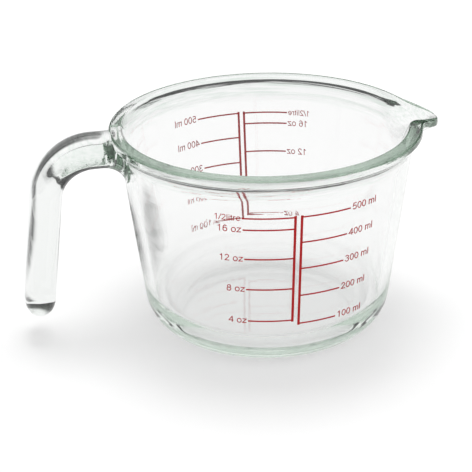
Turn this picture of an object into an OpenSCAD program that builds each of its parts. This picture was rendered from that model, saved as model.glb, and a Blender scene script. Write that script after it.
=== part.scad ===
// Half-litre measuring jug in pressed clear glass, with a scale printed in red enamel on two sides.
// Millimetres. The bowl's axis is Z and its base lies on Z = 0. The spout points to +X, the open
// handle to -X, and the two prints face -Y (front) and +Y (back).

/* [Bowl] */
// Height from the table to the top of the rim
bowl_h = 86.8; // [84:0.1:92]
// Diameter that the wall's cone would have on the table
foot_d = 100.8; // [96:0.1:103]
// Lean of the wall away from the axis, in degrees
wall_lean = 6.8; // [5.5:0.1:7.4]
// Thickness of the wall
wall_t = 4.3; // [3.4:0.1:5]
// Thickness of the floor
floor_t = 6.4; // [4:0.1:8]
// Radius of the round heel outside
heel_r = 14.5; // [10:0.5:18]
// Radius of the round heel inside
inner_heel_r = 14; // [9:0.5:17]

/* [Rim] */
// How far the rim's edge stands out past the line of the wall, at the top
rim_over = 2.75; // [2:0.05:4.5]
// Height of the rim's outer edge
rim_edge_h = 3.6; // [3:0.1:5]
// Width of the rim, from the mouth just under its rounding to the outer edge
rim_w = 5.8; // [5:0.1:6.4]
// Lean of the flare under the rim's edge, in degrees
flare_lean = 50; // [40:1:60]
// Lean of the wall inside the mouth, in degrees
mouth_lean = 25; // [20:1:32]
// Rounding of the rim's corners
rim_round = 1.3; // [0.8:0.1:1.6]

/* [Spout] */
// How far the spout's tip stands past the rim
spout_reach = 9.1; // [6:0.1:12]
// Width of the spout, where it stands out by a third of its reach
spout_w = 21; // [16:0.5:26]
// How far the tip droops below the rim
spout_droop = 3.4; // [2:0.1:4.5]
// How far below the rim the spout leaves the wall, outside
spout_drop = 17; // [14:0.5:20]
// How far below the rim the pouring channel leaves the wall, inside
channel_drop = 14; // [11:0.5:16]
// Thickness of the spout's lip at the tip
lip_t = 4.3; // [3:0.1:5]

/* [Handle] */
// Length of the straight arm past the rim
arm_len = 7.1; // [4:0.1:14]
// Width of the arm, across the jug
arm_w = 25; // [20:0.5:30]
// Thickness of the arm
arm_t = 12; // [10:0.1:14]
// Gap from the rim's top down to the arm's top
arm_drop = 0.2; // [0.1:0.1:4]
// Radius of the bend along the middle of the rod
bend_r = 20; // [16:0.5:26]
// Lean of the leg away from the bowl, in degrees
leg_lean = 7.4; // [0:0.1:12]
// Length of the straight leg
leg_len = 45; // [30:0.5:50]
// Width of the leg, across the jug
leg_w = 22; // [16:0.5:26]
// Thickness of the leg
leg_t = 12.9; // [10:0.1:15]
// Length of the leg's round end
end_len = 8.1; // [5:0.1:10]
// Radius of the fillet where the arm's underside meets the wall
root_r = 9; // [4:0.5:12]

/* [Print] */
// Gap from the rim's top down to the top line, where the jug holds its full measure
full_mark_drop = 17.1; // [14:0.1:26]
// Width of the enamel's upright stems
stem_w = 1; // [0.6:0.1:1.6]
// Gap between the two stems
stem_gap = 1.5; // [0.8:0.1:3]
// Width of the cross lines
line_w = 0.6; // [0.4:0.1:1]
// Reach of the longest millilitre line from the print's middle, along the wall
ml_reach = 21.4; // [15:0.1:26]
// Reach of the shortest millilitre line
ml_reach_low = 17; // [12:0.1:24]
// Reach of the longest ounce line
oz_reach = 21.3; // [15:0.1:26]
// Reach of the shortest ounce line
oz_reach_low = 18.6; // [12:0.1:24]
// Thickness of the enamel
enamel_t = 0.12; // [0.05:0.01:0.3]
// How far the stems run past their end lines
stem_over = 0.7; // [0.3:0.1:2]
// Turn of the back print from straight opposite, in degrees
back_turn = 1; // [0:0.5:3]

/* [Hidden] */
$fn = 120;

// Overrun past a cut face
over = 1;
// Steps in an outline's large arcs and in its small roundings
arc_n = 6;
round_n = 3;

foot_r = foot_d / 2;

// Slope of the wall's line, and its radius at a height, outside and inside
wall_slope = tan(wall_lean);
inner_foot_r = foot_r - wall_t / cos(wall_lean);
function wall_r(z) = foot_r + z * wall_slope;
function inner_r(z) = inner_foot_r + z * wall_slope;
rim_r = wall_r(bowl_h) + rim_over;
mouth_r = rim_r - rim_w;

// An arc's points: the middle, the radius, the first and last angle, and the number of steps
function arc(middle, r, from, to, steps) =
    [for (i = [0:steps]) let (a = from + (to - from) * i / steps) middle + r * [cos(a), sin(a)]];

// Radius of the flare that joins a leaning line through [base, 0] to a point it leaves at another lean
function flare_r(base, end, lean) =
    (end.x - base - end.y * wall_slope)
    / (cos(wall_lean) - cos(lean) - (sin(lean) - sin(wall_lean)) * wall_slope);

// A flare's points, from the wall's line up to the one before its end, where the next arc starts
function flare(base, end, lean) =
    let (r = flare_r(base, end, lean), middle = end + r * [cos(lean), -sin(lean)],
         points = arc(middle, r, 180 - wall_lean, 180 - lean, arc_n))
    [for (i = [0:arc_n - 1]) points[i]];

// Outside of the bowl, from the edge of the flat base to the top of the rim
edge_low = [rim_r - rim_round * (1 - cos(flare_lean)), bowl_h - rim_edge_h];
heel_mid = [wall_r(heel_r) - heel_r / cos(wall_lean), heel_r];
outer_line = concat(
    arc(heel_mid, heel_r, -90, -wall_lean, arc_n),
    flare(foot_r, edge_low, flare_lean),
    arc(edge_low + rim_round * [-cos(flare_lean), sin(flare_lean)], rim_round, -flare_lean, 0, round_n),
    arc([rim_r - rim_round, bowl_h - rim_round], rim_round, 0, 90, round_n));

// Inside of the bowl, from the edge of the flat floor to the top of the rim
mouth_mid = [mouth_r + rim_round * cos(mouth_lean), bowl_h - rim_round];
inner_heel_z = floor_t + inner_heel_r;
inner_heel_mid = [inner_r(inner_heel_z) - inner_heel_r / cos(wall_lean), inner_heel_z];
inner_line = concat(
    arc(inner_heel_mid, inner_heel_r, -90, -wall_lean, arc_n),
    flare(inner_foot_r, mouth_mid + rim_round * [-cos(mouth_lean), sin(mouth_lean)], mouth_lean),
    arc(mouth_mid, rim_round, 180 - mouth_lean, 90, round_n));

// Volume inside the bowl up to a height, as a stack of cone slices along the inner line
function total(list) = [for (i = 0, t = 0; i < len(list); t = t + list[i], i = i + 1) t + list[i]];
function cone_slice(a, b) = PI / 3 * (b.y - a.y) * (a.x * a.x + a.x * b.x + b.x * b.x);
function slice_to(a, b, z) =
    z <= a.y ? 0
    : z >= b.y ? cone_slice(a, b)
    : cone_slice(a, a + (b - a) * (z - a.y) / (b.y - a.y));
function volume_to(z) =
    let (sums = total([for (i = [1:len(inner_line) - 1]) slice_to(inner_line[i - 1], inner_line[i], z)]))
    sums[len(sums) - 1];

// Height at which the bowl holds a volume, by halving the range 24 times
halvings = 24;
function height_of(v, low, high, n) =
    let (z = (low + high) / 2)
    n == 0 ? z : volume_to(z) > v ? height_of(v, low, z, n - 1) : height_of(v, z, high, n - 1);

// The lines stand where the bowl holds these shares of its full measure:
// fifths for 100 to 500 ml, and a half litre then 16, 12, 8 and 4 fluid ounces
ounce_share = 28.413 / 500;
ml_shares = [for (i = [5:-1:1]) i / 5];
oz_shares = [1, for (i = [16:-4:4]) i * ounce_share];
full_volume = volume_to(bowl_h - full_mark_drop);
function line_heights(shares) =
    [for (s = shares) height_of(s * full_volume, floor_t, bowl_h, halvings)];

// The spout is a sector of the bowl, pushed out and down. Round the bowl the push is a flat-topped bell
// that comes to nothing at the gap's sides, and up the wall it grows as a power of the height. The sector
// runs past its gap into the glass on both sides and below, a hair thinner than the glass round it.
bell_power = 2.56;
rise_power = 2;
bell_deg = spout_w / (2 * rim_r) * 180 / PI;
half_share = 1.82;
half_deg = half_share * bell_deg;
spout_cols = 24;
step_deg = 2 * half_deg / (spout_cols - 1);
straight_rows = 4;
hair = 0.08;
spout_foot_z = bowl_h - spout_drop;
channel_foot_z = bowl_h - channel_drop;
channel_reach = spout_reach + rim_r - mouth_r - lip_t;
function raw_bell(a) = exp(-pow(abs(a) / bell_deg, bell_power));
function bell(a) = max(raw_bell(a) - raw_bell(half_deg), 0) / (1 - raw_bell(half_deg));
function rise(z, foot, top) = pow(min(max((z - foot) / (top - foot), 0), 1), rise_power);

// The part of an outline above the gap's foot, with rows added up its straight stretch from inside the glass
function with_rows(line, low) =
    let (up = [for (p = line) if (p.y > spout_foot_z) p])
    concat([for (i = [0:straight_rows - 1]) low + (up[0] - low) * i / straight_rows], up);
sector_foot_z = spout_foot_z - over;
outer_rows = with_rows(outer_line, [wall_r(sector_foot_z), sector_foot_z]);
inner_rows = with_rows(inner_line, [inner_r(sector_foot_z), sector_foot_z]);
mouth_top_z = inner_line[len(inner_line) - round_n - 1].y;

// A point of an outline, pushed out by a reach and down by the droop, at an angle round the bowl.
// Side is -1 for the outside and 1 for the inside.
function pushed(p, a, side, reach, foot, top) =
    let (g = bell(a) * rise(p.y, foot, top), r = p.x + side * hair + reach * g,
         lower = p.y > bowl_h - rim_round ? hair : 0)
    [r * cos(a), r * sin(a), p.y - lower - spout_droop * g];

// One column of the sector: up the outside, over the rim and down the inside
function spout_column(a) = concat(
    [for (p = outer_rows) pushed(p, a, -1, spout_reach + hair, spout_foot_z, edge_low.y)],
    [for (i = [len(inner_rows) - 1:-1:0])
        pushed(inner_rows[i], a, 1, channel_reach, channel_foot_z, mouth_top_z)]);

// The handle's middle line: the arm's height, the bend's middle and the leg's direction
arm_z = bowl_h - arm_drop - arm_t / 2;
bend_x = -(rim_r + arm_len);
bend_turn = 90 - leg_lean;
leg_dir = [-sin(leg_lean), -cos(leg_lean)];
bend_mid = [bend_x, arm_z - bend_r];
leg_top = bend_mid + bend_r * [-cos(leg_lean), sin(leg_lean)];
root_x = -foot_r;
root_z = arm_z - arm_t / 2 - root_r;
root_mid_x = -(wall_r(root_z) + root_r / cos(wall_lean));

// Rings of the handle: how many in each stretch, and sides round the rod
root_rings = 10;
bend_turn_root = 90 - wall_lean;
arm_rings = 3;
bend_rings = 14;
leg_rings = 6;
end_rings = 9;
rod_sides = 28;
// How square the rod's oval is: 2 is an ellipse
rod_power = 2.3;

// Depth of the root's fillet at a place along the arm: it touches the arm's underside and the wall
function fillet(x) =
    let (d = min(max(x - root_mid_x, 0), root_r * cos(wall_lean)))
    root_r - sqrt(root_r * root_r - d * d);

// Each station holds its middle point, the way it heads, its half width, and its half thickness
// on the outer side and on the inner side
function blend(a, b, s) = a + (b - a) * s * s * (3 - 2 * s);
function arm_station(x) =
    let (f = fillet(x))
    [[x, arm_z], [-1, 0], arm_w / 2 + f / 2, arm_t / 2, arm_t / 2 + f];
function bend_station(s) =
    let (a = 90 + bend_turn * s)
    [bend_mid + bend_r * [cos(a), sin(a)], [-sin(a), cos(a)], blend(arm_w, leg_w, s) / 2,
     blend(arm_t, leg_t, s) / 2, blend(arm_t, leg_t, s) / 2];
function leg_station(d, size) =
    [leg_top + d * leg_dir, leg_dir, leg_w / 2 * size, leg_t / 2 * size, leg_t / 2 * size];
stations = concat(
    [arm_station(root_x)],
    [for (i = [root_rings:-1:0]) arm_station(root_mid_x + root_r * sin(bend_turn_root * i / root_rings))],
    [for (i = [1:arm_rings - 1]) arm_station(root_mid_x + (bend_x - root_mid_x) * i / arm_rings)],
    [for (i = [0:bend_rings]) bend_station(i / bend_rings)],
    [for (i = [1:leg_rings]) leg_station(leg_len * i / leg_rings, 1)],
    [for (i = [1:end_rings - 1]) let (a = 90 * i / end_rings) leg_station(leg_len + end_len * sin(a), cos(a))]);

// Signed power, for the oval
function oval(v) = sign(v) * pow(abs(v), 2 / rod_power);
function ring(st) =
    let (side = [st[1].y, -st[1].x])
    [for (j = [0:rod_sides - 1])
        let (a = 360 * j / rod_sides, up = oval(cos(a)), across = oval(sin(a)) * st[2],
             rise = up * (up > 0 ? st[3] : st[4]), p = st[0] + rise * side)
        [p.x, across, p.y]];

// A closed skin over rings of equal length, with a point past the last one
function skin_faces(rings, sides) = concat(
    [[for (j = [0:sides - 1]) j]],
    [for (i = [0:rings - 2], j = [0:sides - 1]) let (k = (j + 1) % sides)
        each [[i * sides + k, i * sides + j, (i + 1) * sides + k],
              [i * sides + j, (i + 1) * sides + j, (i + 1) * sides + k]]],
    [for (j = [0:sides - 1]) [(rings - 1) * sides + (j + 1) % sides, (rings - 1) * sides + j, rings * sides]]);

// Glass as the picture shows it, a faint green in thick places
module clear_glass() {
    color([0.82, 0.9, 0.86, 0.55]) children();
}

module red_enamel() {
    color("firebrick") children();
}

// The bowl's whole outside as one solid of revolution, for the bowl and for what meets it
module bowl_body() {
    rotate_extrude() polygon(concat([[0, 0]], outer_line, [[0, bowl_h]]));
}

module bowl_hollow() {
    rotate_extrude() polygon(concat([[0, floor_t]], inner_line, [[inner_line[len(inner_line) - 1].x, bowl_h + over]],
                                    [[0, bowl_h + over]]));
}

// A strip of triangles across a loop of points, from side to side: the loop's length, its first point's
// number, and whether the strip faces the way that the loop turns
function across_loop(sides, first, forward) =
    let (number = function (i) first + (i % 2 == 0 ? i / 2 : sides - (i + 1) / 2))
    [for (i = [0:sides - 3])
        (i % 2 == 1) == forward
            ? [number(i), number(i + 1), number(i + 2)]
            : [number(i), number(i + 2), number(i + 1)]];

// A closed skin over the spout's columns, each a closed loop in a plane through the axis
module spout() {
    columns = [for (i = [0:spout_cols]) spout_column(step_deg * (i - spout_cols / 2))];
    sides = len(columns[0]);
    polyhedron(
        points = [for (c = columns) each c],
        faces = concat(
            across_loop(sides, 0, false),
            across_loop(sides, spout_cols * sides, true),
            [for (i = [0:spout_cols - 1], j = [0:sides - 1]) let (k = (j + 1) % sides)
                each [[i * sides + j, i * sides + k, (i + 1) * sides + k],
                      [i * sides + j, (i + 1) * sides + k, (i + 1) * sides + j]]]));
}

// The gap in the bowl that the spout's sector fills
module spout_gap() {
    rotate(-half_deg) rotate_extrude(angle = 2 * half_deg)
        translate([mouth_r / 2, spout_foot_z])
            square([rim_r, spout_drop + over]);
}

module glass_bowl() {
    clear_glass() union() {
        difference() {
            bowl_body();
            bowl_hollow();
            spout_gap();
        }
        spout();
    }
}

// The rod starts inside the bowl and is cut back to the bowl's own outside, so the two meet face to face
module glass_handle() {
    rings = [for (st = stations) ring(st)];
    end_point = leg_top + (leg_len + end_len) * leg_dir;
    clear_glass() difference() {
        polyhedron(points = concat([for (r = rings) each r], [[end_point.x, 0, end_point.y]]),
                   faces = skin_faces(len(rings), rod_sides));
        bowl_body();
    }
}

// A length along the wall, as the distance that it reaches across the picture from the print's middle
function across(reach, z) = wall_r(z) * sin(reach / wall_r(z) * 180 / PI);

// A scale's outline seen straight on: a stem, with a line out from it at each height
function comb(heights, reach_high, reach_low) =
    let (top = heights[0], low = heights[len(heights) - 1], inner = stem_gap / 2, outer = inner + stem_w)
    concat(
        [[inner, low - stem_over], [outer, low - stem_over]],
        [for (i = [len(heights) - 1:-1:0])
            let (z = heights[i], share = (z - low) / (top - low),
                 tip = across(reach_low + (reach_high - reach_low) * share, z))
            each [[outer, z - line_w / 2], [tip, z - line_w / 2], [tip, z + line_w / 2], [outer, z + line_w / 2]]],
        [[outer, top + stem_over], [inner, top + stem_over]]);

// A skin of enamel all round the wall between two heights
module enamel_skin(low, high) {
    rotate_extrude()
        polygon([[wall_r(low), low], [wall_r(low) + enamel_t, low],
                 [wall_r(high) + enamel_t, high], [wall_r(high), high]]);
}

// A stem with cross lines on one side. Side is 1 towards the spout and -1 away from it.
module enamel_scale(heights, reach_high, reach_low, side) {
    red_enamel() intersection() {
        rotate([90, 0, 0])
            linear_extrude(rim_r)
                polygon([for (p = comb(heights, reach_high, reach_low)) [side * p.x, p.y]]);
        enamel_skin(heights[len(heights) - 1] - stem_over - over, heights[0] + stem_over + over);
    }
}

module millilitre_scale() {
    enamel_scale(line_heights(ml_shares), ml_reach, ml_reach_low, 1);
}

module ounce_scale() {
    enamel_scale(line_heights(oz_shares), oz_reach, oz_reach_low, -1);
}

module on_back() {
    rotate(180 - back_turn) children();
}

module front_millilitre_scale() { millilitre_scale(); }
module front_ounce_scale() { ounce_scale(); }
module back_millilitre_scale() { on_back() millilitre_scale(); }
module back_ounce_scale() { on_back() ounce_scale(); }

glass_bowl();
glass_handle();
front_millilitre_scale();
front_ounce_scale();
back_millilitre_scale();
back_ounce_scale();
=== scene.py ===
"""Half-litre measuring jug of clear pressed glass with red enamel scales on two sides.

The bowl's axis is Z and its base stands on Z = 0. The spout points to +X, the handle to -X, and the two
prints face -Y and +Y. Shapes are worked out in millimetres, and become metres when they are put into a
mesh.
"""

import logging
import math
from dataclasses import dataclass, replace
from enum import Enum
from typing import Any, Sequence, Union

import bpy
import numpy as np
from mathutils import Matrix, Vector

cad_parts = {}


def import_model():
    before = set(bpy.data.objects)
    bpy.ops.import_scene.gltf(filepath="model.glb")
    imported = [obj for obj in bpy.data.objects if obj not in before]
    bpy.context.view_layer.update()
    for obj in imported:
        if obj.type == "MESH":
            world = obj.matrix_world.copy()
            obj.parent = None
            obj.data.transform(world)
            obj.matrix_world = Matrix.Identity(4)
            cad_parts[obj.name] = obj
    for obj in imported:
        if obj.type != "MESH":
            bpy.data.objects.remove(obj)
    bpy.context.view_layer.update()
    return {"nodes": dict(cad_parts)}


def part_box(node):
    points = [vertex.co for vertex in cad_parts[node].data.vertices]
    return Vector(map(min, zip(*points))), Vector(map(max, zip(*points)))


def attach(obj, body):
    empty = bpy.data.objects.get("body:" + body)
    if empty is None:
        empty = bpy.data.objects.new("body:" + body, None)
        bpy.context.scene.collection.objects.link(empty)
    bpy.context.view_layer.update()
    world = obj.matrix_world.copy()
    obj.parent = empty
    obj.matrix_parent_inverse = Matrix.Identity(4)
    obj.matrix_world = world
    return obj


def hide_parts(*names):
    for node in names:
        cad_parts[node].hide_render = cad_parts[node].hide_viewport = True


LOG = logging.getLogger("jug")
MM = 0.001
BODY = "root"
# The glass stays this far behind the enamel, whose inner face then takes light through the wall.
HAIRLINE_MM = 0.05
# Light is thrown to and fro inside the thick rim many times before it leaves. Fewer bounces blacken it.
BOUNCES = 96


def in_mm(corner: Vector) -> np.ndarray:
    """Gives a corner of the frame in millimetres."""
    return np.array(corner) / MM


def straight(start: Sequence[float], end: Sequence[float], steps: int) -> np.ndarray:
    """Points along a straight line, evenly spaced, without the last one.

    Args:
        start: first point.
        end: point where the line stops, which the next stretch adds.
        steps: number of points.

    Returns:
        Array of points, one a row.
    """
    share = np.arange(steps)[:, None] / steps
    return np.asarray(start) + (np.asarray(end) - np.asarray(start)) * share


def arc(middle: Sequence[float], radius: float, start: float, end: float, steps: int) -> np.ndarray:
    """Points along a circle's arc: the middle plus the radius times the cosine and sine of even angles.

    Args:
        middle: the circle's middle.
        radius: its radius.
        start: first angle in degrees.
        end: angle in degrees where the arc stops, which the next stretch adds.
        steps: number of points.

    Returns:
        Array of points, one a row.
    """
    angles = np.radians(start + (end - start) * np.arange(steps) / steps)
    return np.asarray(middle) + radius * np.stack([np.cos(angles), np.sin(angles)], axis=-1)


def grid_quads(rows: int, cols: int, first: int = 0) -> np.ndarray:
    """Four-sided faces over a grid of points whose columns run round and meet.

    Args:
        rows: number of rows of points.
        cols: number of points in a row.
        first: number of the grid's first point.

    Returns:
        Array of faces: each holds point (i, j), the next in its row, and the two beside them in the next row.
    """
    i = np.arange(rows - 1)[:, None]
    j = np.arange(cols)[None, :]
    k = (j + 1) % cols
    faces = np.stack([i * cols + j, i * cols + k, (i + 1) * cols + k, (i + 1) * cols + j], axis=-1)
    return faces.reshape(-1, 4) + first


def fan(ring: int, cols: int, pole: int, outward: bool) -> np.ndarray:
    """Triangles that close a ring of points with a pole.

    Args:
        ring: number of the ring's first point.
        cols: number of points in the ring.
        pole: number of the pole's point.
        outward: turns the triangles the other way.

    Returns:
        Array of faces, one triangle for each side of the ring.
    """
    j = np.arange(cols)
    k = (j + 1) % cols
    sides = (ring + j, ring + k) if outward else (ring + k, ring + j)
    return np.stack([*sides, np.full(cols, pole)], axis=-1)


def add_piece(name: str, points: np.ndarray, faces: Sequence[np.ndarray]) -> bpy.types.Object:
    """Makes a smooth mesh object at the origin.

    Args:
        name: the piece's name.
        points: points in millimetres, one a row.
        faces: arrays of faces, each array with one number of corners.

    Returns:
        The object, linked to the scene.
    """
    mesh = bpy.data.meshes.new(name)
    mesh.from_pydata((points * MM).tolist(), [], [face for some in faces for face in some.tolist()])
    mesh.validate()
    mesh.shade_smooth()
    piece = bpy.data.objects.new(name, mesh)
    bpy.context.scene.collection.objects.link(piece)
    return piece


def smooth_step(share: np.ndarray) -> np.ndarray:
    """Eases a share from 0 to 1: three times its square less twice its cube."""
    return share * share * (3 - 2 * share)


class Field:
    """A shader socket that takes part in Python expressions, each of which adds its Math node."""

    def __init__(self, tree: "Tree", socket: bpy.types.NodeSocket) -> None:
        """Keeps the tree and the socket that the value comes from."""
        self.tree = tree
        self.socket = socket

    def _math(self, operation: str, *values: Any) -> "Field":
        """Adds a Math node on these values."""
        return self.tree.add("ShaderNodeMath", {"operation": operation}, dict(enumerate(values)))

    def __add__(self, other: "Number") -> "Field":
        """Sum."""
        return self._math("ADD", self, other)

    def __radd__(self, other: "Number") -> "Field":
        """Sum with the number first."""
        return self._math("ADD", other, self)

    def __sub__(self, other: "Number") -> "Field":
        """Difference."""
        return self._math("SUBTRACT", self, other)

    def __rsub__(self, other: "Number") -> "Field":
        """Difference with the number first."""
        return self._math("SUBTRACT", other, self)

    def __mul__(self, other: "Number") -> "Field":
        """Product."""
        return self._math("MULTIPLY", self, other)

    def __rmul__(self, other: "Number") -> "Field":
        """Product with the number first."""
        return self._math("MULTIPLY", other, self)

    def over(self, low: float, high: float) -> "Field":
        """Eases from 0 where the value is low to 1 where it is high.

        Args:
            low: value that gives 0.
            high: value that gives 1.

        Returns:
            The eased share.
        """
        settings = {"interpolation_type": "SMOOTHSTEP"}
        values = {"Value": self, "From Min": low, "From Max": high}
        return self.tree.add("ShaderNodeMapRange", settings, values)


Number = Union[Field, float, int]


class Tree:
    """Builds the nodes of one material or world."""

    def __init__(self, owner: Union[bpy.types.Material, bpy.types.World]) -> None:
        """Empties the owner's node tree.

        Args:
            owner: the material or world to build.
        """
        owner.use_nodes = True
        self.nodes = owner.node_tree.nodes
        self.links = owner.node_tree.links
        self.nodes.clear()

    def add(self, kind: str, settings: dict[str, Any], values: dict[Any, Any], output: Any = 0) -> Field:
        """Adds a node.

        Args:
            kind: the node's type.
            settings: its properties, set first.
            values: a number, colour or Field for each input, by name or number.
            output: name or number of the output to hand back.

        Returns:
            The output, ready for expressions.
        """
        node = self.nodes.new(kind)
        for name, value in settings.items():
            setattr(node, name, value)
        for key, value in values.items():
            if isinstance(value, Field):
                self.links.new(value.socket, node.inputs[key])
            else:
                node.inputs[key].default_value = value
        return Field(self, node.outputs[output]) if len(node.outputs) else Field(self, node.inputs[0])

    def parts(self, vector: Field) -> tuple[Field, Field, Field]:
        """Splits a vector into its three parts."""
        split = self.add("ShaderNodeSeparateXYZ", {}, {"Vector": vector}).socket.node
        return tuple(Field(self, split.outputs[axis]) for axis in range(3))

    def length(self, vector: Field) -> Field:
        """Length of a vector."""
        return self.add("ShaderNodeVectorMath", {"operation": "LENGTH"}, {0: vector}, "Value")

    def grey(self, level: Field) -> Field:
        """Turns a level into a grey."""
        return self.add("ShaderNodeCombineColor", {}, {0: level, 1: level, 2: level})

    def place(self, scale: tuple[float, float, float] = (1, 1, 1)) -> Field:
        """Object coordinates, stretched along each axis by a Mapping node."""
        where = self.add("ShaderNodeTexCoord", {}, {}, "Object")
        return self.add("ShaderNodeMapping", {}, {"Vector": where, "Scale": scale}, "Vector")

    def noise(self, where: Field, grain_mm: float, detail: float = 2, roughness: float = 0.5) -> Field:
        """Soft noise from 0 to 1 whose grains have a given size.

        Args:
            where: coordinates in metres.
            grain_mm: size of a grain.
            detail: number of finer layers.
            roughness: strength of the finer layers.

        Returns:
            The noise's value.
        """
        values = {"Vector": where, "Scale": 1 / (grain_mm * MM), "Detail": detail, "Roughness": roughness}
        return self.add("ShaderNodeTexNoise", {}, values, "Fac")

    def mix(self, share: Number, low: Sequence[float], high: Sequence[float]) -> Field:
        """Mixes two colours by a share."""
        settings = {"data_type": "RGBA"}
        return self.add("ShaderNodeMix", settings, {"Factor": share, 6: (*low, 1), 7: (*high, 1)}, 2)

    def bump(
        self, height: Field, depth_mm: float, strength: float = 1, under: Union[Field, None] = None
    ) -> Field:
        """Turns a height from 0 to 1 into a bumped normal.

        Args:
            height: the height.
            depth_mm: depth of the relief.
            strength: share of the relief that shows.
            under: a bump that lies under this one.

        Returns:
            The normal.
        """
        values = {"Height": height, "Distance": depth_mm * MM, "Strength": strength}
        if under is not None:
            values["Normal"] = under
        return self.add("ShaderNodeBump", {}, values, "Normal")


class Slot(Enum):
    """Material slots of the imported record."""

    GLASS = "glass"
    ENAMEL = "enamel"


@dataclass(frozen=True)
class ClearGlass:
    """Clear pressed glass, fire-polished, with slow waves from the mould and faintly green where it is thick.

    Each relief has the size of its grain and its depth. The rim begins and is full at two heights in metres.
    """

    ior: float = 1.51
    tint: tuple[float, float, float, float] = (0.36, 0.54, 0.4, 1)
    density: float = 4.2
    wave_mm: float = 16
    wave_depth_mm: float = 0.05
    # Streaks drawn up the wall: their grain is squeezed along the height by the stretch.
    draw_mm: float = 2.6
    draw_depth_mm: float = 0.004
    draw_stretch: float = 0.12
    # Rings round the axis, with their share below the rim.
    ring_mm: float = 1.0
    ring_depth_mm: float = 0.04
    ring_stretch: float = 0.06
    ring_low: float = 0.15
    rim_from: float = 0.074
    rim_to: float = 0.081
    # The colour, and what the rings turn it to between two values of their noise.
    clear: tuple[float, float, float] = (1, 1, 1)
    streak: tuple[float, float, float] = (0.82, 0.88, 0.84)
    streak_from: float = 0.42
    streak_to: float = 0.64
    # The roughness where it is best polished and where it is dullest.
    polish: float = 0.0
    dull: float = 0.02
    dull_mm: float = 8
    dull_from: float = 0.55
    dull_to: float = 0.9

    def material(self) -> bpy.types.Material:
        """Builds the material.

        Returns:
            The glass, with waves, drawn streaks and rings in its normal and a slight change of polish. The
            rings are noise on the distance from the axis and the height, slow round the axis, and strong
            at the rim, where they also tint it.
        """
        made = bpy.data.materials.new("clear_glass")
        tree = Tree(made)
        where = tree.place()
        drawn = tree.place((1, 1, self.draw_stretch))
        waves = tree.bump(tree.noise(where, self.wave_mm, 1), self.wave_depth_mm)
        streaks = tree.bump(tree.noise(drawn, self.draw_mm, 1), self.draw_depth_mm, 1, waves)
        across, deep, up = tree.parts(where)
        radius = tree.length(tree.place((1, 1, 0)))
        slow = (across + deep) * self.ring_stretch
        turned = tree.add("ShaderNodeCombineXYZ", {}, {0: radius, 1: up, 2: slow})
        rim = up.over(self.rim_from, self.rim_to)
        rings = tree.noise(turned, self.ring_mm, 2)
        share = self.ring_low + (1 - self.ring_low) * rim
        normal = tree.bump(rings * share, self.ring_depth_mm, 1, streaks)
        tinted = rings.over(self.streak_from, self.streak_to) * rim
        worn = tree.noise(where, self.dull_mm).over(self.dull_from, self.dull_to)
        values = {
            "Base Color": tree.mix(tinted, self.clear, self.streak),
            "Roughness": self.polish + (self.dull - self.polish) * worn,
            "IOR": self.ior,
            "Transmission Weight": 1,
            "Normal": normal,
        }
        shader = tree.add("ShaderNodeBsdfPrincipled", {}, values)
        inside = tree.add("ShaderNodeVolumeAbsorption", {}, {"Color": self.tint, "Density": self.density})
        tree.add("ShaderNodeOutputMaterial", {}, {"Surface": shader, "Volume": inside})
        return made


@dataclass(frozen=True)
class RedEnamel:
    """Fired red enamel, satin, with a faint grain of the screen and thinner places."""

    # The colour of a full coat and of a thin one.
    full: tuple[float, float, float] = (0.58, 0.01, 0.014)
    thin: tuple[float, float, float] = (0.68, 0.045, 0.05)
    ior: float = 1.25
    # The screen's grain: its size, how rough its noise is, where it thins the coat, and its relief.
    mesh_mm: float = 0.35
    mesh_roughness: float = 0.6
    mesh_from: float = 0.45
    mesh_to: float = 0.8
    grain_depth_mm: float = 0.02
    grain_strength: float = 0.6
    # Wider places where the coat is thin.
    patch_mm: float = 7
    patch_from: float = 0.35
    patch_to: float = 0.7
    satin: float = 0.32
    dull: float = 0.5
    # The share of light that goes through, without which the print on the far side turns dark.
    sheer: float = 0.5

    def material(self) -> bpy.types.Material:
        """Builds the material.

        Returns:
            The enamel, with its grain in the colour, the roughness and the normal.
        """
        made = bpy.data.materials.new("red_enamel")
        tree = Tree(made)
        where = tree.place()
        grain = tree.noise(where, self.mesh_mm, 3, self.mesh_roughness)
        patches = tree.noise(where, self.patch_mm, 1).over(self.patch_from, self.patch_to)
        thin = grain.over(self.mesh_from, self.mesh_to) * patches
        values = {
            "Base Color": tree.mix(thin, self.full, self.thin),
            "Roughness": self.satin + (self.dull - self.satin) * grain,
            "IOR": self.ior,
            "Transmission Weight": self.sheer,
            "Normal": tree.bump(grain, self.grain_depth_mm, self.grain_strength),
        }
        shader = tree.add("ShaderNodeBsdfPrincipled", {}, values)
        tree.add("ShaderNodeOutputMaterial", {}, {"Surface": shader})
        return made


@dataclass(frozen=True)
class Wall:
    """The bowl's wall as a cone: its radius on the table line and its lean in degrees."""

    foot_radius: float = 50.4
    lean: float = 6.8
    thickness: float = 4.3

    @property
    def slope(self) -> float:
        """Growth of the radius for each millimetre of height."""
        return math.tan(math.radians(self.lean))

    @property
    def inner_foot(self) -> float:
        """Radius of the inner cone on the table line."""
        return self.foot_radius - self.thickness / math.cos(math.radians(self.lean))

    def radius(self, height: Any) -> Any:
        """Outer radius at a height: the foot's radius plus the height times the slope."""
        return self.foot_radius + height * self.slope

    def inner(self, height: Any) -> Any:
        """Inner radius at a height."""
        return self.inner_foot + height * self.slope


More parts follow.
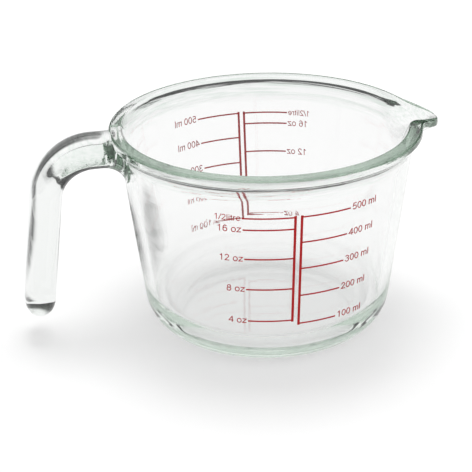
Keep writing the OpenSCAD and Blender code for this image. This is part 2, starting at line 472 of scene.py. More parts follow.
@dataclass(frozen=True)
class Bowl:
    """The bowl, its rim and its spout as one surface of two parameters.

    They are the angle round the axis and the place along the outline. Leans are in degrees from upright.
    """

    wall: Wall
    height: float
    rim_radius: float
    tip_radius: float
    floor: float = 6.4
    heel: float = 14.5
    inner_heel: float = 14
    rim_width: float = 5.8
    edge_height: float = 3.6
    flare_lean: float = 50
    mouth_lean: float = 25
    rounding: float = 1.3
    spout_width: float = 21
    droop: float = 3.4
    spout_drop: float = 17
    channel_drop: float = 14
    lip: float = 4.3
    bell_power: float = 2.56
    rise_power: float = 2
    columns: int = 360
    crowding: float = 0.5
    # How finely the outline's stretches are divided, inside as outside.
    base_steps: int = 8
    heel_steps: int = 18
    wall_steps: int = 34
    flare_steps: int = 14
    edge_steps: int = 2
    turn_steps: int = 6
    top_turn_steps: int = 8
    top_steps: int = 5
    floor_steps: int = 9

    @classmethod
    def from_frame(cls, wall: Wall) -> "Bowl":
        """Takes the height, the rim's radius and the spout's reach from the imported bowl."""
        low, high = (in_mm(corner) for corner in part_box("glass_bowl"))
        return cls(wall=wall, height=high[2], rim_radius=-low[0], tip_radius=high[0])

    def _flare(self, base: float, end: np.ndarray, lean: float) -> np.ndarray:
        """The arc that leaves the wall's line without a corner and reaches its end at another lean.

        Its radius is the distance still missing from the wall's line, over the difference of the two leans'
        cosines less the slope times the difference of their sines.

        Args:
            base: radius of the wall's line on the table line.
            end: point where the flare stops.
            lean: lean there in degrees.

        Returns:
            The arc's points.
        """
        first = math.radians(self.wall.lean)
        last = math.radians(lean)
        missing = end[0] - base - end[1] * self.wall.slope
        across = math.cos(first) - math.cos(last)
        up = math.sin(last) - math.sin(first)
        radius = missing / (across - up * self.wall.slope)
        middle = end + radius * np.array([math.cos(last), -math.sin(last)])
        return arc(middle, radius, 180 - self.wall.lean, 180 - lean, self.flare_steps)

    def outline(self) -> tuple[np.ndarray, np.ndarray]:
        """The section of the bowl, from the middle of the base round to the middle of the floor.

        Stretches in order: base, heel, wall, flare, edge, top rounding, flat top, mouth rounding, inner
        flare, inner wall, inner heel, floor.

        Returns:
            Points as radius and height, and for each the share that it is inside the bowl: 0 up to the flat
            top, 1 after it, and an even run between.
        """
        wall, turn = self.wall, self.rounding
        cos_wall = math.cos(math.radians(wall.lean))
        flare_lean, mouth_lean = math.radians(self.flare_lean), math.radians(self.mouth_lean)
        cos_flare, sin_flare = math.cos(flare_lean), math.sin(flare_lean)
        cos_mouth, sin_mouth = math.cos(mouth_lean), math.sin(mouth_lean)
        heel_mid = np.array([wall.radius(self.heel) - self.heel / cos_wall, self.heel])
        edge = np.array([self.rim_radius - turn * (1 - cos_flare), self.height - self.edge_height])
        mouth_mid = np.array([self.rim_radius - self.rim_width + turn * cos_mouth, self.height - turn])
        mouth = mouth_mid + turn * np.array([-cos_mouth, sin_mouth])
        inner_z = self.floor + self.inner_heel
        inner_mid = np.array([wall.inner(inner_z) - self.inner_heel / cos_wall, inner_z])
        low_mid = edge + turn * np.array([-cos_flare, sin_flare])
        heel = arc(heel_mid, self.heel, -90, -wall.lean, self.heel_steps)
        flare = self._flare(wall.foot_radius, edge, self.flare_lean)
        low_turn = arc(low_mid, turn, -self.flare_lean, 0, self.turn_steps)
        top_turn = arc((self.rim_radius - turn, self.height - turn), turn, 0, 90, self.top_turn_steps)
        mouth_turn = arc(mouth_mid, turn, 90, 180 - self.mouth_lean, self.turn_steps)
        inner_flare = self._flare(wall.inner_foot, mouth, self.mouth_lean)[::-1]
        inner_heel = arc(inner_mid, self.inner_heel, -wall.lean, -90, self.heel_steps)
        wall_start = heel_mid + self.heel * np.array([cos_wall, -math.sin(math.radians(wall.lean))])
        edge_start = (self.rim_radius, edge[1] + turn * sin_flare)
        top_start = (self.rim_radius - turn, self.height)
        floor_edge = (inner_mid[0], self.floor)
        outside = [
            straight((0, 0), (heel_mid[0], 0), self.base_steps),
            heel,
            straight(wall_start, flare[0], self.wall_steps),
            flare,
            low_turn,
            straight(edge_start, (self.rim_radius, self.height - turn), self.edge_steps),
            top_turn,
        ]
        top = straight(top_start, (mouth_mid[0], self.height), self.top_steps)
        inside = [
            mouth_turn,
            np.array([mouth]),
            inner_flare,
            straight(inner_flare[-1], inner_heel[0], self.wall_steps)[1:],
            inner_heel,
            straight(floor_edge, (0, self.floor), self.floor_steps),
            np.array([[0, self.floor]]),
        ]
        counts = sum(map(len, outside)), len(top), sum(map(len, inside))
        shares = np.concatenate([np.zeros(counts[0]), np.arange(counts[1]) / counts[1], np.ones(counts[2])])
        return np.concatenate([*outside, top, *inside]), shares

    def angles(self) -> np.ndarray:
        """Angles round the bowl, closer together at the spout and the handle.

        Each is an even angle less the crowding times the sine of its double, over two.
        """
        even = 2 * np.pi * np.arange(self.columns) / self.columns
        return even - self.crowding * np.sin(2 * even) / 2

    def surface(self) -> np.ndarray:
        """The bowl's points, a row for each place on the outline.

        A point of the outline is pushed out by the reach and down by the droop, both times the bell round the
        bowl and the rise up the wall. The bell is e to the minus power of the angle over the spout's half
        width. The rise is a power of the height above the spout's foot, from 0 at the foot to 1 at the rim.

        Returns:
            Array of rows by columns by three, in millimetres.
        """
        points, inside = self.outline()
        channel_reach = self.tip_radius - self.lip - (self.rim_radius - self.rim_width)
        spout_reach = self.tip_radius - self.rim_radius
        reach = spout_reach + (channel_reach - spout_reach) * inside
        foot = self.height - self.spout_drop + (self.spout_drop - self.channel_drop) * inside
        top_outside = self.height - self.edge_height
        top_inside = self.height - self.rounding * (1 - math.sin(math.radians(self.mouth_lean)))
        top = top_outside + (top_inside - top_outside) * inside
        rise = np.clip((points[:, 1] - foot) / (top - foot), 0, 1) ** self.rise_power
        angles = self.angles()
        turned = np.abs((angles + np.pi) % (2 * np.pi) - np.pi)
        bell = np.exp(-((turned * self.rim_radius / self.spout_width * 2) ** self.bell_power))
        push = rise[:, None] * bell[None, :]
        radius = points[:, :1] + reach[:, None] * push
        height = points[:, 1:] - self.droop * push
        return np.stack([radius * np.cos(angles), radius * np.sin(angles), height], axis=-1)

    def piece(self, name: str) -> bpy.types.Object:
        """Makes the bowl's mesh, with a pole in the middle of the base and one in the middle of the floor.

        Args:
            name: the piece's name.

        Returns:
            The object.
        """
        grid = self.surface()
        rows, cols = grid.shape[0] - 2, grid.shape[1]
        points = np.concatenate([grid[1:-1].reshape(-1, 3), grid[0, :1], grid[-1, :1]])
        last_ring = (rows - 1) * cols
        faces = [
            grid_quads(rows, cols),
            fan(0, cols, rows * cols, False),
            fan(last_ring, cols, rows * cols + 1, True),
        ]
        return add_piece(name, points, faces)


@dataclass(frozen=True)
class Handle:
    """The open handle: a squarish oval carried along an arm, a bend and a leg that ends free."""

    wall: Wall
    rim_radius: float
    top: float
    lowest: float
    arm_length: float = 7.1
    arm_width: float = 25
    arm_thickness: float = 12
    bend_radius: float = 20
    leg_lean: float = 7.4
    leg_width: float = 22
    leg_thickness: float = 12.9
    end_length: float = 8.1
    fillet_radius: float = 9
    squareness: float = 2.3
    sides: int = 72
    sink: float = 0.55
    # How finely its stretches are divided.
    fillet_steps: int = 22
    arm_steps: int = 9
    bend_steps: int = 42
    leg_steps: int = 24
    end_steps: int = 24

    @classmethod
    def from_frame(cls, wall: Wall) -> "Handle":
        """Takes the arm's top and the leg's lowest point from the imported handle."""
        low, high = (in_mm(corner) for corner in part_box("glass_handle"))
        bowl_low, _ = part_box("glass_bowl")
        return cls(wall=wall, rim_radius=-in_mm(bowl_low)[0], top=high[2], lowest=low[2])

    def stations(self) -> dict[str, np.ndarray]:
        """Where the oval stands along the handle, and how large it is there.

        The arm runs straight out and its underside drops to the wall along a fillet. The bend is an arc, and
        the width and thickness ease along it from the arm's to the leg's. At the leg's end both follow a
        quarter ellipse to nothing.

        Returns:
            Arrays by name: middle and heading as (x, z), half_width, the thickness up and down from the
            middle, and the point where the free end closes.
        """
        arm_z = self.top - self.arm_thickness / 2
        bend_x = -(self.rim_radius + self.arm_length)
        lean = math.radians(self.leg_lean)
        leg_way = np.array([-math.sin(lean), -math.cos(lean)])
        root_z = arm_z - self.arm_thickness / 2 - self.fillet_radius
        cos_wall = math.cos(math.radians(self.wall.lean))
        root_x = -(self.wall.radius(root_z) + self.fillet_radius / cos_wall)
        bend_mid = np.array([bend_x, arm_z - self.bend_radius])
        leg_top = bend_mid + self.bend_radius * np.array([-math.cos(lean), math.sin(lean)])
        leg_length = (leg_top[1] - self.lowest) / math.cos(lean) - self.end_length

        turns = np.radians(90 - self.wall.lean) * np.linspace(1, 0, self.fillet_steps)
        fillet_x = root_x + self.fillet_radius * np.sin(turns)
        arm_x = np.concatenate([fillet_x, straight((root_x,), (bend_x,), self.arm_steps)[1:, 0]])
        drop = np.clip(arm_x - root_x, 0, self.fillet_radius * cos_wall)
        drop = self.fillet_radius - np.sqrt(self.fillet_radius**2 - drop**2)
        arm_mid = np.stack([arm_x, np.full_like(arm_x, arm_z)], axis=-1)
        arm_way = np.tile([-1.0, 0.0], (len(arm_x), 1))

        share = np.linspace(0, 1, self.bend_steps)
        bend_turn = np.radians(90 + (90 - self.leg_lean) * share)
        bend_at = bend_mid + self.bend_radius * np.stack([np.cos(bend_turn), np.sin(bend_turn)], axis=-1)
        bend_way = np.stack([-np.sin(bend_turn), np.cos(bend_turn)], axis=-1)
        ease = smooth_step(share)
        bend_width = self.arm_width + (self.leg_width - self.arm_width) * ease
        bend_thick = self.arm_thickness + (self.leg_thickness - self.arm_thickness) * ease

        end_turn = np.linspace(0, np.pi / 2, self.end_steps)[:-1]
        leg_run = leg_length * np.arange(1, self.leg_steps) / self.leg_steps
        along = np.concatenate([leg_run, leg_length + self.end_length * np.sin(end_turn)])
        size = np.concatenate([np.ones(len(leg_run)), np.cos(end_turn)])
        leg_at = leg_top + along[:, None] * leg_way
        half_arm, half_bend = self.arm_thickness / 2, bend_thick / 2
        half_leg = self.leg_thickness / 2 * size
        half_width = [(self.arm_width + drop) / 2, bend_width / 2, self.leg_width / 2 * size]
        return {
            "middle": np.concatenate([arm_mid, bend_at, leg_at]),
            "heading": np.concatenate([arm_way, bend_way, np.tile(leg_way, (len(along), 1))]),
            "half_width": np.concatenate(half_width),
            "up": np.concatenate([np.full_like(drop, half_arm), half_bend, half_leg]),
            "down": np.concatenate([half_arm + drop, half_bend, half_leg]),
            "end": leg_top + (leg_length + self.end_length) * leg_way,
        }

    def surface(self) -> np.ndarray:
        """The handle's points, a row for each station.

        The oval's point at an angle is its half sizes times the cosine and sine, each raised to two over the
        squareness with its sign kept. The first row is moved along X into the middle of the bowl's wall.

        Returns:
            Array of rows by sides by three, in millimetres.
        """
        at = self.stations()
        angles = 2 * np.pi * np.arange(self.sides) / self.sides
        power = 2 / self.squareness
        up = np.sign(np.cos(angles)) * np.abs(np.cos(angles)) ** power
        across = np.sign(np.sin(angles)) * np.abs(np.sin(angles)) ** power
        out = np.stack([at["heading"][:, 1], -at["heading"][:, 0]], axis=-1)
        reach = np.where(up > 0, at["up"][:, None], at["down"][:, None]) * up
        flat = at["middle"][:, None, :] + reach[:, :, None] * out[:, None, :]
        grid = np.stack([flat[:, :, 0], at["half_width"][:, None] * across, flat[:, :, 1]], axis=-1)
        buried = self.wall.radius(grid[0, :, 2]) - self.sink * self.wall.thickness
        grid[0, :, 0] = -np.sqrt(buried**2 - grid[0, :, 1] ** 2)
        return grid

    def piece(self, name: str) -> bpy.types.Object:
        """Makes the handle's mesh, closed by a pole inside the wall and one at the free end.

        Args:
            name: the piece's name.

        Returns:
            The object.
        """
        grid = self.surface()
        rows, cols = grid.shape[:2]
        end = self.stations()["end"]
        points = np.concatenate([grid.reshape(-1, 3), [grid[0].mean(axis=0)], [[end[0], 0, end[1]]]])
        faces = [
            grid_quads(rows, cols),
            fan(0, cols, rows * cols, False),
            fan((rows - 1) * cols, cols, rows * cols + 1, True),
        ]
        return add_piece(name, points, faces)


@dataclass(frozen=True)
class PressedGlass:
    """The whole glass of the jug: bowl, spout and handle welded into one closed skin."""

    bowl: Bowl
    handle: Handle
    sharp_deg: float = 38

    def build(self, glass: bpy.types.Material) -> bpy.types.Object:
        """Welds the handle to the bowl and gives the result its material.

        Args:
            glass: the material.

        Returns:
            The welded piece, which stands for both glass nodes.
        """
        bowl = self.bowl.piece("bowl_skin")
        handle = self.handle.piece("handle_skin")
        weld = bowl.modifiers.new("weld", "BOOLEAN")
        weld.operation = "UNION"
        weld.solver = "MANIFOLD"
        weld.object = handle
        bpy.context.view_layer.update()
        welded = bpy.data.meshes.new_from_object(bowl.evaluated_get(bpy.context.evaluated_depsgraph_get()))
        welded.name = "glass_jug"
        for part in (bowl, handle):
            bpy.data.objects.remove(part)
        welded.materials.clear()
        welded.materials.append(glass)
        welded.shade_smooth()
        welded.set_sharp_from_angle(angle=math.radians(self.sharp_deg))
        jug = bpy.data.objects.new("glass_jug", welded)
        bpy.context.scene.collection.objects.link(jug)
        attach(jug, BODY)
        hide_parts("glass_bowl", "glass_handle")
        return jug


class Face(Enum):
    """Sides of the bowl that carry a print, by their turn about the axis in degrees from the front."""

    FRONT = 0.0
    BACK = 179.0


def bow(
    x: float, y: float, wide: float, high: float, start: float, end: float, steps: int = 18
) -> np.ndarray:
    """Points on an ellipse's arc: its middle plus its half sizes times the cosine and sine of the angle.

    Args:
        x: the middle's place across.
        y: the middle's height.
        wide: half the width.
        high: half the height.
        start: first angle in degrees.
        end: last angle in degrees.
        steps: number of points.

    Returns:
        Array of points, one a row.
    """
    angles = np.radians(np.linspace(start, end, steps))
    return np.stack([x + wide * np.cos(angles), y + high * np.sin(angles)], axis=-1)


def path(*pieces: Any) -> np.ndarray:
    """Joins points and arcs into one stroke."""
    return np.concatenate([np.atleast_2d(piece) for piece in pieces]).astype(float)


def ring(x: float, y: float, wide: float, high: float) -> np.ndarray:
    """A closed oval stroke, whose last point is its first."""
    return bow(x, y, wide, high, 90, 450, 37)


@dataclass(frozen=True)
class Letter:
    """One letter of the print: its width and the middle lines of its strokes, in thousandths of an em."""

    width: float
    strokes: tuple[np.ndarray, ...] = ()


class PlainFace:
    """A plain upright face of letters, drawn with a pen of one width."""

    pen: float = 84
    mitre: float = 2.2

    def __init__(self) -> None:
        """Draws the letters and numerals that the scales need."""
        stem = path((107, 0), (107, 523))
        self.letters = {
            " ": Letter(278),
            "/": Letter(278, (path((-8, -15), (286, 718)),)),
            "0": Letter(556, (ring(278, 347, 196, 320),)),
            "1": Letter(556, (path((313, 0), (313, 703)), bow(112, 703, 190, 137, -6, -90, 9))),
            "2": Letter(556, (path(bow(275, 497, 180, 170, 172, -38), (88, 42), (505, 42)),)),
            "3": Letter(
                556,
                (
                    path(bow(268, 520, 162, 148, 165, -90), (215, 372)),
                    path((215, 372), bow(268, 200, 188, 172, 90, -170)),
                ),
            ),
            "4": Letter(556, (path((395, 672), (62, 205), (525, 205)), path((395, 0), (395, 703)))),
            "5": Letter(556, (path((465, 668), (160, 668), bow(272, 233, 190, 205, 140, -150)),)),
            "6": Letter(556, (bow(290, 330, 200, 338, 45, 196), ring(282, 228, 190, 200))),
            "8": Letter(556, (ring(278, 522, 160, 146), ring(278, 196, 192, 180))),
            "e": Letter(556, (path((84, 250), bow(278, 261, 200, 234, -3, 318, 26)),)),
            "i": Letter(222, (path((111, 0), (111, 523)), path((111, 620), (111, 718)))),
            "l": Letter(222, (path((111, 0), (111, 718)),)),
            "m": Letter(
                833,
                (
                    stem,
                    path(bow(262, 345, 155, 136, 180, 0), (417, 0)),
                    path(bow(572, 345, 155, 136, 180, 0), (727, 0)),
                ),
            ),
            "o": Letter(556, (ring(278, 261, 200, 234),)),
            "r": Letter(333, (stem, path(bow(268, 330, 161, 146, 180, 80), (322, 478)))),
            "t": Letter(
                278,
                (
                    path((128, 660), bow(200, 116, 72, 78, 180, 270, 9), (252, 38)),
                    path((14, 482), (246, 482)),
                ),
            ),
            "z": Letter(500, (path((48, 481), (425, 481), (52, 42), (452, 42)),)),
        }

    def width(self, words: str) -> float:
        """Width of a run of letters."""
        return sum(self.letters[letter].width for letter in words)

    def ribbon(self, line: np.ndarray) -> tuple[np.ndarray, np.ndarray]:
        """Carries the pen's flat oblong along a stroke.

        At each point the oblong stands across the mean of the headings before and after it, and is stretched
        by one over the cosine of half their turn, so that corners keep their width.

        Args:
            line: the stroke's middle line, whose last point is its first where it is closed.

        Returns:
            Points as place across, height and depth from 0 to 1, and faces.
        """
        closed = np.allclose(line[0], line[-1])
        line = line[:-1] if closed else line
        before = line - np.roll(line, 1, axis=0)
        after = np.roll(line, -1, axis=0) - line
        if not closed:
            before[0], after[-1] = after[0], before[-1]
        before /= np.linalg.norm(before, axis=1, keepdims=True)
        after /= np.linalg.norm(after, axis=1, keepdims=True)
        mean = before + after
        mean /= np.linalg.norm(mean, axis=1, keepdims=True)
        stretch = 1 / np.maximum((mean * before).sum(axis=1, keepdims=True), 1 / self.mitre)
        left = np.stack([-mean[:, 1], mean[:, 0]], axis=-1) * stretch * self.pen / 2
        sides = np.stack([line + left, line + left, line - left, line - left], axis=1)
        depth = np.broadcast_to(np.array([0.0, 1.0, 1.0, 0.0])[None, :, None], (len(line), 4, 1))
        points = np.concatenate([sides, depth], axis=-1).reshape(-1, 3)
        rows = len(line)
        i = np.arange(rows if closed else rows - 1)[:, None]
        k = (i + 1) % rows
        j = np.arange(4)[None, :]
        n = (j + 1) % 4
        faces = np.stack([i * 4 + j, i * 4 + n, k * 4 + n, k * 4 + j], axis=-1).reshape(-1, 4)
        if not closed:
            ends = np.array([[3, 2, 1, 0], [0, 1, 2, 3]]) + np.array([[0], [(rows - 1) * 4]])
            faces = np.concatenate([faces, ends])
        return points, faces

    def set_words(self, words: str) -> tuple[np.ndarray, np.ndarray]:
        """Sets a run of letters side by side.

        Args:
            words: the letters.

        Returns:
            Points and faces of all their strokes, from the pen's place 0.
        """
        points: list[np.ndarray] = []
        faces: list[np.ndarray] = []
        place, count = 0.0, 0
        for letter in words:
            for stroke in self.letters[letter].strokes:
                some, sides = self.ribbon(stroke)
                points.append(some + (place, 0, 0))
                faces.append(sides + count)
                count += len(some)
            place += self.letters[letter].width
        return np.concatenate(points), np.concatenate(faces)


@dataclass(frozen=True)
class Label:
    """One printed label: its words, the height of its line, where it starts along the wall, and its em."""

    words: str
    height: float
    start: float
    em: float


@dataclass(frozen=True)
class Lettering:
    """The numerals and units beside a print's lines, wrapped round the wall in a thin layer of enamel."""

    wall: Wall
    face: PlainFace
    thickness: float = 0.12
    drop: float = 1.05

    def wrap(self, flat: np.ndarray, label: Label, side: Face) -> np.ndarray:
        """Lays flat letters on the wall.

        A point's place across gives its angle, as the distance along the wall over the wall's radius there.
        Its height gives its place up the wall, and its depth its distance from the wall.

        Args:
            flat: points as place across, height and depth.
            label: the label that they belong to.
            side: the side of the bowl.

        Returns:
            Points in millimetres.
        """
        scale = label.em / 1000
        shift = self.face.width(label.words) * scale if label.start < 0 else 0
        height = label.height - self.drop + scale * flat[:, 1]
        radius = self.wall.radius(height)
        angle = (label.start - shift + scale * flat[:, 0]) / radius + math.radians(side.value)
        out = radius + self.thickness * flat[:, 2]
        return np.stack([out * np.sin(angle), -out * np.cos(angle), height], axis=-1)

    def build(
        self, name: str, labels: Sequence[Label], side: Face, enamel: bpy.types.Material
    ) -> bpy.types.Object:
        """Makes one scale's labels as a single piece.

        Args:
            name: the piece's name.
            labels: its labels.
            side: the side of the bowl.
            enamel: the material.

        Returns:
            The piece.
        """
        points: list[np.ndarray] = []
        faces: list[np.ndarray] = []
        count = 0
        for label in labels:
            flat, sides = self.face.set_words(label.words)
            points.append(self.wrap(flat, label, side))
            faces.append(sides + count)
            count += len(flat)
        piece = add_piece(name, np.concatenate(points), faces)
        piece.data.shade_flat()
        piece.data.materials.append(enamel)
        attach(piece, BODY)
        return piece


@dataclass(frozen=True)
class Scale:
    """One scale's words from the top line down, with the em of each and the gap between line and words.

    The hand is 1 where the lines go to the right and -1 where they go to the left.
    """

    words: tuple[str, ...]
    ems: tuple[float, ...]
    gap: float
    hand: int


MILLILITRES = Scale(
    words=("500 ml", "400 ml", "300 ml", "200 ml", "100 ml"),
    ems=(4.15, 4.15, 4.15, 4.15, 4.15),
    gap=0.65,
    hand=1,
)
OUNCES = Scale(
    words=("1/2litre", "16 oz", "12 oz", "8 oz", "4 oz"),
    ems=(3.5, 3.95, 3.95, 3.95, 3.95),
    gap=0.35,
    hand=-1,
)


@dataclass(frozen=True)
class Prints:
    """Both prints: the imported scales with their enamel, and the labels at the ends of their lines."""

    wall: Wall
    # What lies further than this from the print's middle belongs to a line, and not to the stem.
    past_stem: float = 4
    # Points of two lines are further apart in height than this share of the scale's height, and those of one
    # line are nearer.
    apart: float = 0.05

    def lines(self, node: bpy.types.Object, side: Face) -> list[tuple[float, float]]:
        """The lines of a packed scale, from the top one down.

        A point's distance from the print's middle is its angle from there times the wall's radius. The points
        past the stem, sorted by height, fall into one group for each line.

        Args:
            node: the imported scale.
            side: the side of the bowl.

        Returns:
            Each line's height and how far it reaches along the wall from the print's middle.
        """
        low, high = (in_mm(corner)[2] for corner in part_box(node.name))
        points = np.empty(3 * len(node.data.vertices), dtype=np.float32)
        node.data.vertices.foreach_get("co", points)
        x, y, height = points.reshape(-1, 3).T.astype(float) / MM
        turn = np.arctan2(x, -y) - math.radians(side.value)
        along = np.abs((turn + np.pi) % (2 * np.pi) - np.pi) * self.wall.radius(height)
        falling = np.argsort(-height)
        falling = falling[along[falling] > self.past_stem]
        breaks = np.flatnonzero(-np.diff(height[falling]) > self.apart * (high - low)) + 1
        return [
            ((height[line[0]] + height[line[-1]]) / 2, along[line].max())
            for line in np.split(falling, breaks)
        ]

    def labels(self, node: bpy.types.Object, scale: Scale, side: Face) -> list[Label]:
        """The labels of one scale.

        Args:
            node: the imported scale.
            scale: its words and their sizes.
            side: the side of the bowl.

        Returns:
            A label for each line, at the line's height and just past its end.
        """
        return [
            Label(words, height, scale.hand * (reach + scale.gap), em)
            for words, em, (height, reach) in zip(scale.words, scale.ems, self.lines(node, side))
        ]

    def build(self, nodes: dict[str, bpy.types.Object], enamel: bpy.types.Material) -> list[bpy.types.Object]:
        """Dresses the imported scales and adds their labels.

        Args:
            nodes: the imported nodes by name.
            enamel: the material.

        Returns:
            The lettering pieces.
        """
        made = []
        lettering = Lettering(self.wall, PlainFace())
        for side in Face:
            for unit, scale in (("millilitre", MILLILITRES), ("ounce", OUNCES)):
                name = f"{side.name.lower()}_{unit}"
                node = nodes[f"{name}_scale"]
                node.data.materials.clear()
                node.data.materials.append(enamel)
                labels = self.labels(node, scale, side)
                made.append(lettering.build(f"{name}_labels", labels, side, enamel))
        return made


@dataclass(frozen=True)
class Studio:
    """A white table in a pale studio, with the dark places that draw the edges of clear glass.

    The camera sees the table and the background white. Glass and gloss see the table pale round the jug and
    dark far away, with a painted shadow of the jug on it beside the handle. They see the room pale, with a
    dark doorway low behind the jug.
    """

    floor_radius: float = 3.0
    floor_sides: int = 96
    # The table lies this far below the base, in millimetres, so that no two faces share a place.
    air: float = 0.2
    # What the camera sees: the table's colour and glow, and the distances over which it turns white.
    floor_colour: float = 0.6
    floor_glow: float = 0.42
    white_from: float = 0.3
    white_to: float = 1.0
    # What the glass sees: the pale table, the dark one, and the distances over which one becomes the other.
    seen_colour: float = 0.38
    seen_glow: float = 0.57
    dark_colour: float = 0.03
    dark_glow: float = 0.015
    far_from: float = 0.65
    far_to: float = 1.0
    # The painted shadow of the jug beside the handle, which the camera does not see: its middle, its half
    # sizes, the share of them that is fully dark, and its bands.
    painted_shadow_at: tuple[float, float] = (-0.065, 0.092)
    painted_shadow_size: tuple[float, float] = (0.024, 0.068)
    painted_shadow_core: float = 0.35
    painted_shadow_share: float = 0.97
    shadow_band_mm: float = 8
    shadow_band_stretch: float = 0.25
    shadow_band_from: float = 0.35
    shadow_band_to: float = 0.65
    shadow_band_share: float = 0.35
    # The room: its light on matt surfaces, its level high up and low down, and the rise between them.
    ambient: float = 0.62
    room: float = 1.0
    room_low: float = 0.05
    low_until: float = 0.2
    high_from: float = 0.4
    # The doorway: its level, where it lies, and the cosines of its outer and inner edge.
    doorway: float = 0.02
    doorway_way: tuple[float, float, float] = (-0.3, 0.95, 0.08)
    doorway_wide: float = 0.88
    doorway_core: float = 0.95
    # The lamps: place and side in metres, power in watts, and the height they face.
    top_at: tuple[float, float, float] = (0.04, 0.18, 1.1)
    top_side: float = 0.5
    top_power: float = 5.5
    front_at: tuple[float, float, float] = (0.7, -0.7, 1.0)
    front_side: float = 0.6
    front_power: float = 1.0
    aim_height: float = 0.04

    def world(self) -> None:
        """White for the camera, even grey for matt surfaces, and for the glass a pale room with a doorway."""
        world = bpy.data.worlds.new("studio")
        bpy.context.scene.world = world
        tree = Tree(world)
        way = tree.add("ShaderNodeTexCoord", {}, {}, "Generated")
        aimed = {0: way, 1: tuple(Vector(self.doorway_way).normalized())}
        towards = tree.add("ShaderNodeVectorMath", {"operation": "DOT_PRODUCT"}, aimed, "Value")
        _, _, rise = tree.parts(way)
        seen = self.room_low + (self.room - self.room_low) * rise.over(self.low_until, self.high_from)
        seen = seen + (self.doorway - seen) * towards.over(self.doorway_wide, self.doorway_core)
        camera = tree.add("ShaderNodeLightPath", {}, {}, "Is Camera Ray")
        matt = tree.add("ShaderNodeLightPath", {}, {}, "Is Diffuse Ray")
        level = seen + (self.ambient - seen) * matt
        level = level + (1 - level) * camera
        light = tree.add("ShaderNodeBackground", {}, {"Color": tree.grey(level), "Strength": 1.0})
        tree.add("ShaderNodeOutputWorld", {}, {"Surface": light})

    def floor(self) -> None:
        """A wide round table top that the camera sees white where no shadow falls.

        For other rays it darkens by the distance from the jug and by the nearness to a painted shadow of the
        jug
        beside the handle: the light share is the product of what each leaves.
        """
        cols = self.floor_sides
        angles = 2 * np.pi * np.arange(cols) / cols
        edge = np.stack([np.cos(angles), np.sin(angles), np.zeros(cols)], axis=-1) * self.floor_radius / MM
        points = np.concatenate([edge, [[0, 0, 0]]]) - (0, 0, self.air)
        floor = add_piece("floor", points, [fan(0, cols, cols, True)])
        made = bpy.data.materials.new("white_floor")
        tree = Tree(made)
        where = tree.add("ShaderNodeTexCoord", {}, {}, "Object")
        away = tree.length(where)
        # Painted shadow of the jug beside the handle: dark in its core and broken by bands, seen only by
        # glass and gloss.
        scale = tuple(1 / size for size in self.painted_shadow_size)
        place = tuple(-at / size for at, size in zip(self.painted_shadow_at, self.painted_shadow_size))
        settled = {"Vector": where, "Location": (*place, 0), "Scale": (*scale, 1)}
        centred = tree.add("ShaderNodeMapping", {}, settled, "Vector")
        nearness = 1 - tree.length(centred).over(self.painted_shadow_core, 1)
        crossing = tree.place((self.shadow_band_stretch, 1, 1))
        bands = tree.noise(crossing, self.shadow_band_mm, 0).over(self.shadow_band_from, self.shadow_band_to)
        patch = nearness * (1 - self.shadow_band_share * bands)
        camera = tree.add("ShaderNodeLightPath", {}, {}, "Is Camera Ray")
        pale = 1 - away.over(self.far_from, self.far_to)
        # The painted shadow darkens the table's colour and glow for glass and gloss.
        pale = pale * (1 - self.painted_shadow_share * patch)
        colour = self.dark_colour + (self.seen_colour - self.dark_colour) * pale
        glow = self.dark_glow + (self.seen_glow - self.dark_glow) * pale
        colour = colour + (self.floor_colour - colour) * camera
        white = self.floor_glow + (1 - self.floor_glow) * away.over(self.white_from, self.white_to)
        glow = glow + (white - glow) * camera
        diffuse = tree.add("ShaderNodeBsdfDiffuse", {}, {"Color": tree.grey(colour)})
        light = tree.add("ShaderNodeEmission", {}, {"Color": tree.grey(glow), "Strength": 1.0})
        both = tree.add("ShaderNodeAddShader", {}, {0: diffuse, 1: light})
        tree.add("ShaderNodeOutputMaterial", {}, {"Surface": both})
        floor.data.materials.append(made)

    def softbox(self, name: str, at: tuple[float, float, float], side: float, power: float) -> None:
        """A soft square lamp that faces the jug and leaves no picture of itself in the glass.

        Args:
            name: the lamp's name.
            at: where it hangs, in metres.
            side: its side in metres.
            power: its power in watts.
        """
        data = bpy.data.lights.new(name, "AREA")
        data.shape = "SQUARE"
        data.size = side
        data.energy = power
        lamp = bpy.data.objects.new(name, data)
        lamp.location = at
        way = Vector((0, 0, self.aim_height)) - Vector(at)
        lamp.rotation_euler = way.to_track_quat("-Z", "Y").to_euler()
        lamp.visible_camera = False
        lamp.visible_glossy = False
        lamp.visible_transmission = False
        bpy.context.scene.collection.objects.link(lamp)

    def build(self) -> None:
        """Builds the world, the floor and the lamps."""
        self.world()
        self.floor()
        self.softbox("softbox_top", self.top_at, self.top_side, self.top_power)
        self.softbox("softbox_front", self.front_at, self.front_side, self.front_power)


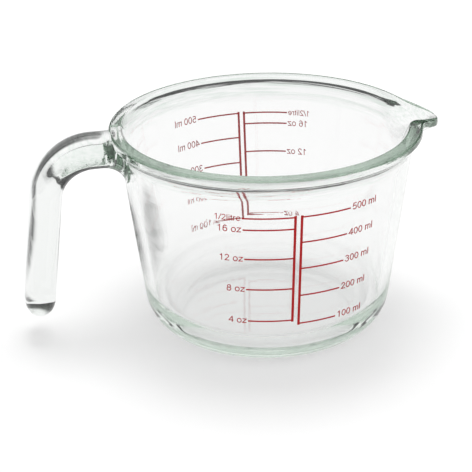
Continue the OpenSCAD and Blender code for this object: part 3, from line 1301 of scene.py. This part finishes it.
@dataclass(frozen=True)
class Viewpoint:
    """The photograph's camera: its turn, height and distance, and the point it looks at, in millimetres."""

    distance: float = 542.55
    elevation: float = 24.558
    turn: float = 11.882
    across: float = -12.854
    target_height: float = 35.281
    lift: float = 42.0
    roll: float = -1.222
    lens: float = 98.51

    def build(self) -> bpy.types.Object:
        """Places the camera and makes it the scene's own.

        Returns:
            The camera.
        """
        turn, up = math.radians(self.turn), math.radians(self.elevation)
        flat = self.distance * math.cos(up)
        height = self.lift + self.distance * math.sin(up)
        place = Vector((-flat * math.sin(turn), -flat * math.cos(turn), height)) * MM
        shift = self.across * math.cos(turn), -self.across * math.sin(turn)
        target = Vector((*shift, self.target_height)) * MM
        data = bpy.data.cameras.new("camera")
        data.lens = self.lens
        data.clip_end = 100
        camera = bpy.data.objects.new("camera", data)
        facing = (target - place).to_track_quat("-Z", "Y").to_matrix()
        camera.matrix_world = Matrix.Translation(place) @ (
            facing @ Matrix.Rotation(math.radians(self.roll), 3, "Z")
        ).to_4x4()
        bpy.context.scene.collection.objects.link(camera)
        bpy.context.scene.camera = camera
        return camera


def render_settings() -> None:
    """Plain view transform, and enough bounces for light to cross both walls of the glass."""
    scene = bpy.context.scene
    scene.view_settings.view_transform = "Standard"
    scene.cycles.max_bounces = BOUNCES
    scene.cycles.transmission_bounces = BOUNCES
    scene.cycles.glossy_bounces = BOUNCES
    scene.cycles.use_denoising = True


def main() -> None:
    """Builds the jug round its frame, then the studio and the camera."""
    logging.basicConfig(level=logging.INFO, format="%(name)s: %(message)s")
    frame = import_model()
    wall = Wall()
    render_settings()
    Viewpoint().build()
    glass = ClearGlass().material()
    enamel = RedEnamel().material()
    skin = replace(wall, foot_radius=wall.foot_radius - HAIRLINE_MM)
    jug = PressedGlass(Bowl.from_frame(skin), Handle.from_frame(skin)).build(glass)
    LOG.info("%s: %d faces", jug.name, len(jug.data.polygons))
    for piece in Prints(wall).build(frame["nodes"], enamel):
        LOG.info("%s: %d faces", piece.name, len(piece.data.polygons))
    Studio().build()
    LOG.info("sizes written")


if __name__ == "__main__":
    main()
